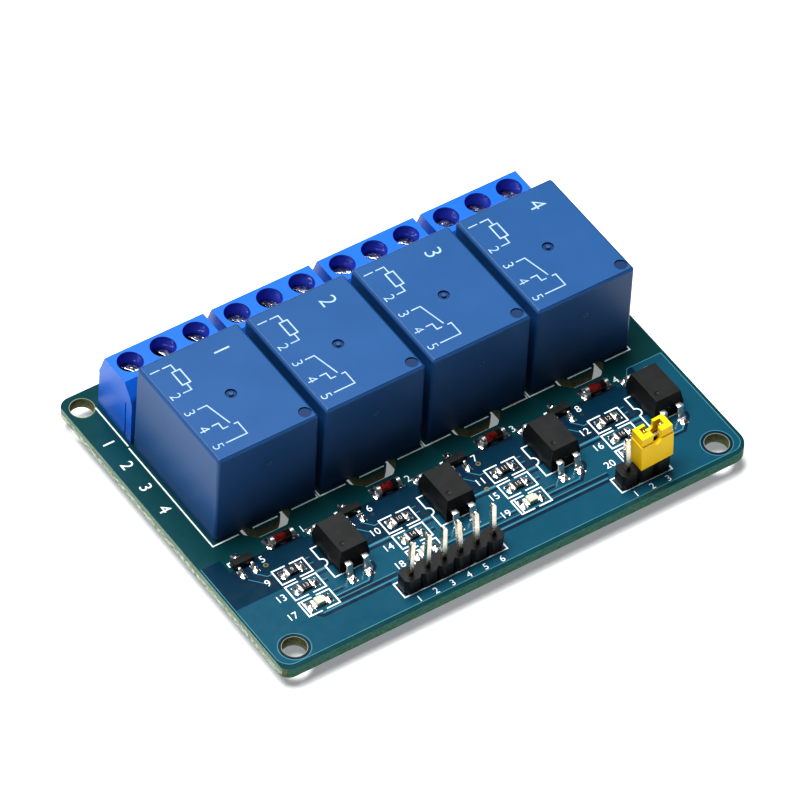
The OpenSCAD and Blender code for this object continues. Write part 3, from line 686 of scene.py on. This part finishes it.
def glass_finish():
    """Dark red glass over the copper slugs, with the black cathode band near the right cap."""
    material = finish("diode_glass", (0.055, 0.002, 0.002), (0.17, 0.014, 0.010), rough=(0.03, 0.06),
                      drift=1500.0, grain=2000.0, relief=0.0, coat=1.0)
    nodes = material.node_tree.nodes
    x = own_axes(material)["X"]
    along = calc(material, "WRAP", x, (channel_x(0) + PITCH / 2) * MM, (channel_x(0) - PITCH / 2) * MM)
    band = calc(material, "GREATER_THAN", along, (channel_x(0) + 0.02) * MM)
    banded = blend(material, band, nodes["tones"].outputs["Color"], (0.008, 0.006, 0.006))
    material.node_tree.links.new(banded, nodes["Principled BSDF"].inputs["Base Color"])
    return material


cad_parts["diode_glass"].data.materials[0] = glass_finish()
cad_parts["diode_caps"].data.materials[0] = lead_tin
coat_black = finish("resistor_coat", (0.010, 0.010, 0.011), (0.016, 0.016, 0.018), rough=(0.2, 0.3))
moulded("resistor_bodies", 0.03, coat_black)
moulded("resistor_caps", 0.03, lead_tin)
chip_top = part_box("resistor_bodies")[1][2] / MM
CHIP_X = -2.09
CHIP_ROWS = (10.56, 7.47)
chip_numbers = []
for k in range(CHANNELS):
    for first_number, y in zip((9, 13), CHIP_ROWS):
        chip_numbers.append((str(k + first_number), channel_x(k) + CHIP_X, y, 0.62, 0))
codes = printed_text("resistor_numbers", chip_numbers, chip_top, 0.01)
settle(codes, finish("pale_ink", (0.42, 0.42, 0.40), (0.58, 0.58, 0.56)))
lamp_white = finish("led_lens", (0.45, 0.51, 0.37), (0.60, 0.64, 0.50), rough=(0.25, 0.35), shine=0.3)
lamp_base = finish("led_substrate", (0.45, 0.62, 0.42), (0.6, 0.72, 0.5))
moulded("led_lenses", 0.06, lamp_white)
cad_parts["led_bases"].data.materials[0] = lamp_base
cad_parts["led_terminals"].data.materials[0] = lead_tin

# ---------------------------------------------------------------------------
# Solder on the top face. Reflowed tin covers the bare pads of the small parts in low
# mounds, highest against the end of the part; their skin is rippled and mirror bright.
# ---------------------------------------------------------------------------

solder = finish("solder", (0.74, 0.74, 0.72), (0.92, 0.91, 0.88), rough=(0.18, 0.36), metal=1.0,
                drift=1500.0, grain=1500.0, relief=0.4, depth=0.03)


def solder_mound():
    """One mound, 2 by 2 and 1 high, square at the pad and domed above."""
    start_alone()
    bpy.ops.mesh.primitive_grid_add(x_subdivisions=12, y_subdivisions=12, size=2.0)
    mound = bpy.context.active_object
    swell = bpy.data.textures.new("swell", "BLEND")
    swell.progression = "SPHERICAL"
    ripple = bpy.data.textures.new("ripple", "CLOUDS")
    ripple.noise_scale = 0.45
    apply_modifier(mound, "DISPLACE", texture=swell, texture_coords="LOCAL", direction="Z",
                   mid_level=0.0, strength=1.0)
    apply_modifier(mound, "DISPLACE", texture=ripple, texture_coords="LOCAL", direction="Z",
                   mid_level=0.4, strength=0.22)
    take(mound)
    bpy.ops.object.mode_set(mode="EDIT")
    bpy.ops.mesh.select_all(action="SELECT")
    bpy.ops.mesh.extrude_region_move(TRANSFORM_OT_translate={"value": (0, 0, -1.0)})
    bpy.ops.transform.resize(value=(1.0, 1.0, 0.0), center_override=(0, 0, -0.25))
    bpy.ops.mesh.select_all(action="SELECT")
    bpy.ops.mesh.normals_make_consistent(inside=False)
    bpy.ops.object.mode_set(mode="OBJECT")
    bpy.ops.object.shade_smooth_by_angle(angle=math.radians(50))
    return mound


def place_copy(model, place, size, turn=0.0):
    """A copy of a model, with its own mesh, at a place in millimetres."""
    copy = bpy.data.objects.new(model.name, model.data.copy())
    bpy.context.scene.collection.objects.link(copy)
    copy.location = Vector(place) * MM
    copy.rotation_euler.z = math.radians(turn)
    copy.scale = size
    return copy


def solder_group(name, mound, places):
    """Copies of the mound on their pads, joined; each place is x, y, two half sides, height, turn."""
    copies = []
    for x, y, half_x, half_y, height, turn in places:
        across = (half_y, half_x) if turn % 180 else (half_x, half_y)
        size = (across[0] * MM, across[1] * MM, height * MM)
        copies.append(place_copy(mound, (x, y, top + FOIL + 0.25 * height), size, turn))
    return settle(join(name, copies), solder)


LAMP_Y = 4.39
DIODE_Y = 15.85
OPTOCOUPLER_X, OPTOCOUPLER_Y = 4.95, 10.15
dome = solder_mound()
chip_pads, lamp_pads, diode_pads, transistor_pads, foot_pads = [], [], [], [], []
for k in range(CHANNELS):
    x = channel_x(k)
    turn = 90 * k
    for y in CHIP_ROWS:
        chip_pads += [(x + CHIP_X - 1.27, y, 0.55, 0.72, 0.42, turn),
                      (x + CHIP_X + 1.29, y, 0.55, 0.72, 0.42, turn + 180)]
    lamp_pads += [(x + CHIP_X - 1.36, LAMP_Y, 0.48, 0.78, 0.3, turn + 90),
                  (x + CHIP_X + 1.36, LAMP_Y, 0.48, 0.78, 0.3, turn)]
    diode_pads += [(x - 2.16, DIODE_Y, 0.55, 0.95, 0.62, turn),
                   (x + 1.38, DIODE_Y, 0.55, 0.95, 0.62, turn + 90)]
    transistor_pads += [(x - 7.78, 13.4, 0.42, 0.75, 0.36, turn),
                        (x - 5.85, 13.4, 0.42, 0.75, 0.36, turn + 90),
                        (x - 6.95, 16.2, 0.45, 0.6, 0.36, turn)]
    for side in (-1, 1):
        for reach in (-1, 1):
            foot_pads.append((x + OPTOCOUPLER_X + side * HEADER_PITCH / 2, OPTOCOUPLER_Y + reach * 4.85,
                              0.56, 0.55, 0.3, turn + 90 * reach))
solder_group("solder_chips", dome, chip_pads)
solder_group("solder_lamps", dome, lamp_pads)
solder_group("solder_diodes", dome, diode_pads)
solder_group("solder_transistors", dome, transistor_pads)
solder_group("solder_optocouplers", dome, foot_pads)
bpy.data.objects.remove(dome)

# ---------------------------------------------------------------------------
# Underside. A ground plane under the driver parts, wide tracks from the relay contacts
# to the terminals, and a hollow-sided cone of solder round each of the 41 pins.
# ---------------------------------------------------------------------------

LEG_Y = 41.6
HEADER_Y = 0.69
pin_places = []
wide_tracks = []
for k in range(CHANNELS):
    x = channel_x(k)
    pin_places += [(x, 21.27, 1.0)]
    pin_places += [(x + side * 6.0, y, 1.0) for side in (-1, 1) for y in (23.27, 35.47)]
    pin_places += [(x + BLOCK_X + WAY_PITCH * i, LEG_Y, 1.3) for i in (-1, 0, 1)]
    wide_tracks += [
        ribbon(2.8, [(x, 20.3), (x, 39.0), (x + BLOCK_X, 43.2)]),
        ribbon(3.2, [(x - 6.0, 34.0), (x - 6.0, 38.0), (x - 5.3, 39.6), (x - 5.3, 43.2)]),
        ribbon(3.2, [(x + 6.0, 34.0), (x + 6.0, 38.0), (x + 5.1, 39.6), (x + 5.1, 43.2)]),
    ]
header_places = [(HEADER_6_X + HEADER_PITCH * i, HEADER_Y, 0.8) for i in range(6)]
header_places += [(HEADER_3_X + HEADER_PITCH * i, HEADER_Y, 0.8) for i in range(3)]
ground = [(-35.5, 17.2), (-35.5, -0.2), (-33.4, -2.4), (33.4, -2.4), (35.5, -0.2), (35.5, 17.2)]
# the first header pin is the ground and joins the plane, the others stand clear of it
ground_gaps = [ring_outline(x, y, 1.25, 24) for x, y, radius in header_places[1:]]
plane = flat_sheet("copper_plane_bottom", [ground] + pour_hole_rings + ground_gaps, -FOIL, FOIL)
settle(plane, finish("mask_over_plane", (0.006, 0.063, 0.102), (0.008, 0.071, 0.114),
                                 rough=(0.16, 0.20), drift=70.0, grain=900.0, relief=0.02))
mains = flat_sheet("copper_tracks_bottom", wide_tracks, -FOIL, FOIL)
settle(mains, edge_mask)

start_alone()
bpy.ops.mesh.primitive_circle_add(vertices=24, radius=1.0 * MM, fill_type="NGON")
cone = bpy.context.active_object
bpy.ops.object.mode_set(mode="EDIT")
bpy.ops.mesh.select_all(action="SELECT")
for drop, share in ((0.10, 0.86), (0.22, 0.74), (0.34, 0.78), (0.40, 0.84), (0.14, 0.6)):
    bpy.ops.mesh.extrude_region_move(TRANSFORM_OT_translate={"value": (0, 0, -drop * MM)})
    bpy.ops.transform.resize(value=(share, share, 1.0))
bpy.ops.mesh.select_all(action="DESELECT")
bpy.ops.mesh.select_mode(type="EDGE")
bpy.ops.mesh.select_non_manifold()
bpy.ops.mesh.edge_face_add()
bpy.ops.mesh.select_all(action="SELECT")
bpy.ops.mesh.normals_make_consistent(inside=False)
bpy.ops.mesh.select_mode(type="VERT")
bpy.ops.object.mode_set(mode="OBJECT")
bpy.ops.object.shade_smooth_by_angle(angle=math.radians(50))
cone_copies = [place_copy(cone, (x, y, -FOIL), (radius, radius, 1.0))
               for x, y, radius in pin_places + header_places]
bpy.data.objects.remove(cone)
settle(join("pin_joints", cone_copies), solder)

# ---------------------------------------------------------------------------
# Floor, studio light and camera. The board stands on white paper, on the cut ends of its
# pins, under one large soft box, and is seen from above its front left corner.
# ---------------------------------------------------------------------------

start_alone()
bpy.ops.mesh.primitive_plane_add(size=6.0, location=(0, 0, -1.92 * MM))
floor = bpy.context.active_object
floor.name = "floor"
paper = bpy.data.materials.new("floor_paper")
paper.use_nodes = True
paper_inputs = paper.node_tree.nodes["Principled BSDF"].inputs
paper_inputs["Base Color"].default_value = (0.80, 0.80, 0.80, 1)
paper_inputs["Roughness"].default_value = 0.9
paper_inputs["Emission Color"].default_value = (1.0, 1.0, 1.0, 1)
paper_inputs["Emission Strength"].default_value = 0.25
floor.data.materials.append(paper)

world = bpy.data.worlds.new("studio")
world.use_nodes = True
world.node_tree.nodes["Background"].inputs["Color"].default_value = (0.95, 0.97, 1.0, 1)
world.node_tree.nodes["Background"].inputs["Strength"].default_value = 0.02
bpy.context.scene.world = world

lamp = bpy.data.lights.new("soft_box", "AREA")
lamp.shape = "RECTANGLE"
lamp.size, lamp.size_y = 0.88, 0.48
lamp.energy = 20.0
soft_box = bpy.data.objects.new("soft_box", lamp)
bpy.context.scene.collection.objects.link(soft_box)
soft_box.location = (-0.13, 0.26, 0.95)
aim = Vector((0, 0.02, 0)) - soft_box.location
soft_box.rotation_euler = aim.to_track_quat("-Z", "Y").to_euler()

camera_data = bpy.data.cameras.new("camera")
camera_data.sensor_width = 36.0
camera_data.lens = 321.15
camera_data.clip_start = 0.05
camera = bpy.data.objects.new("camera", camera_data)
bpy.context.scene.collection.objects.link(camera)
camera.location = (-0.37441, -0.46778, 0.68309)
camera.rotation_euler = [math.radians(angle) for angle in (42.3230520, -2.8033653, -34.1546581)]
bpy.context.scene.camera = camera
bpy.context.scene.view_settings.view_transform = "Standard"
bpy.context.scene.view_settings.look = "Medium High Contrast"
